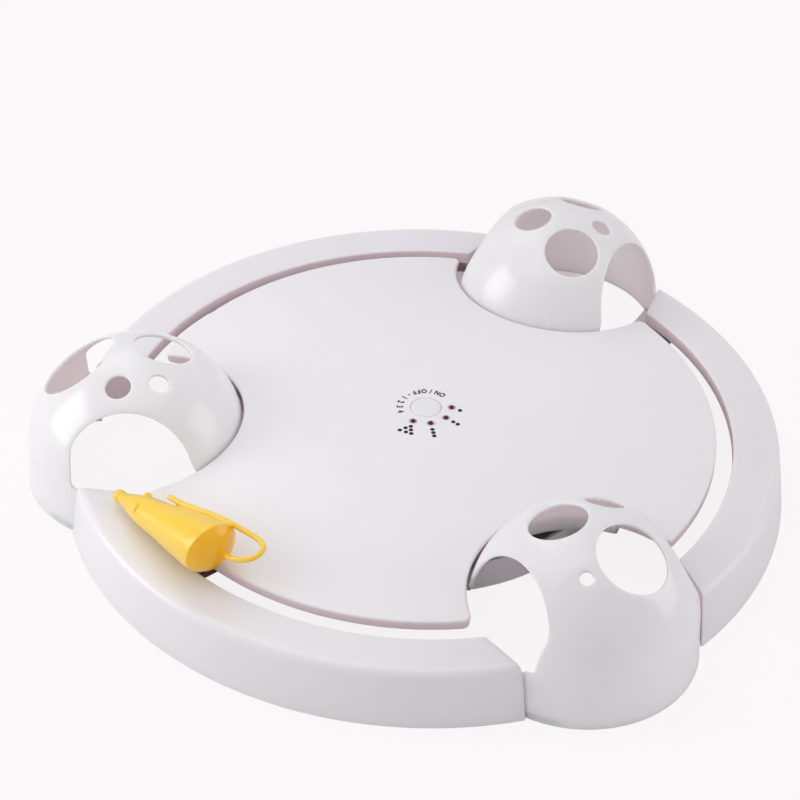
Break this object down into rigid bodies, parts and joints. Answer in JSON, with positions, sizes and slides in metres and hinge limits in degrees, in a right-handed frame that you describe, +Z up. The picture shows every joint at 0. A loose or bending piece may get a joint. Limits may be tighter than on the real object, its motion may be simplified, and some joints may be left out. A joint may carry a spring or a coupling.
{
  "type": "motorised mouse-chase turntable for cats",
  "caption": "Round floor toy: a motor carries a rubber mouse round a slot and through perforated tunnel domes that bridge it; push button and status lights at the centre.",
  "frame": {"origin": "on the floor plane, on the rotor's axis, at the middle of the central foot's underside", "axes": "+Z up along the rotor's axis; -X through the middle of the first tunnel dome"},
  "size_m": [0.4091, 0.3884, 0.0808],
  "materials": {
    "shell_white": "glossy white ABS with soft highlights",
    "dome_white": "glossy white ABS, slightly pinkish inside",
    "button_white": "satin white button",
    "light_red": "dark red translucent lens",
    "inner_grey": "matte grey inner moulding",
    "carrier_brown": "matte dark brown-grey carrier",
    "gear_nylon": "natural nylon",
    "glide": "low-friction acetal pads",
    "mouse_rubber": "soft yellow-orange rubber, semi-gloss",
    "foot_rubber": "matte black rubber",
    "steel": "plain steel",
    "spring_steel": "nickel-plated contact strip",
    "brass": "machined brass",
    "cell": "plain jacket with a bare button end",
    "board_green": "solder-masked circuit board",
    "black_part": "matte black"
  },
  "bodies": {
    "stand": {"base_housing": "shell_white", "battery_cell_1": "cell", "battery_cell_2": "cell", "battery_cell_3": "cell", "battery_door": "shell_white", "battery_door_screw": "steel", "board_screws": "steel", "bracket_screws": "steel", "circuit_board": "board_green", "contact_strip_1": "spring_steel", "contact_strip_2": "spring_steel", "control_chip": "black_part", "cover_screws": "steel", "drive_axle": "steel", "gear_plate": "inner_grey", "gear_plate_screws": "steel", "glide_pads": "glide", "light_1": "light_red", "light_2": "light_red", "light_3": "light_red", "light_4": "light_red", "motor": "steel", "motor_bracket": "inner_grey", "motor_screws": "steel", "platform_cover": "shell_white", "platform_dome_screws": "steel", "ring_screws": "steel", "ring_segment_1": "shell_white", "ring_segment_2": "shell_white", "ring_segment_3": "shell_white", "rubber_feet": "foot_rubber", "step_axle": "steel", "switch_body": "black_part", "tunnel_dome_1": "dome_white", "tunnel_dome_2": "dome_white", "tunnel_dome_3": "dome_white"},
    "mouse_carrier": {"rotor": "carrier_brown", "mouse_arm": "carrier_brown", "arm_screws": "steel", "mouse_post": "steel", "mouse_body": "mouse_rubber", "mouse_tail": "mouse_rubber"},
    "drive_wheel": {"drive_gear": "gear_nylon"},
    "step_wheel": {"step_gear": "gear_nylon"},
    "motor_armature": {"motor_shaft": "steel", "motor_pinion": "brass"},
    "push_button": {"power_button": "button_white", "switch_plunger": "black_part"}
  },
  "joints": [
    {"name": "carrier_spin", "type": "hinge", "parent": "stand", "child": "mouse_carrier", "pos_m": [0, 0, 0.022], "axis": [0, 0, 1], "continuous": true},
    {"name": "drive_spin", "type": "hinge", "parent": "stand", "child": "drive_wheel", "pos_m": [0, 0.05425, 0.014], "axis": [0, 0, 1], "continuous": true},
    {"name": "step_spin", "type": "hinge", "parent": "stand", "child": "step_wheel", "pos_m": [0.01216, 0.04209, 0.009], "axis": [0, 0, 1], "continuous": true},
    {"name": "armature_spin", "type": "hinge", "parent": "stand", "child": "motor_armature", "pos_m": [0.01028, 0.02872, 0.008], "axis": [0, 0, 1], "continuous": true},
    {"name": "button_press", "type": "slide", "parent": "stand", "child": "push_button", "axis": [0, 0, -1], "range_m": [0, 0.001], "stiffness_N_per_m": 400}
  ],
  "couplings": [
    {"joint": "drive_spin", "follows": "carrier_spin", "ratio": 7.2},
    {"joint": "step_spin", "follows": "carrier_spin", "ratio": -23.76},
    {"joint": "armature_spin", "follows": "carrier_spin", "ratio": 95.04}
  ]
}
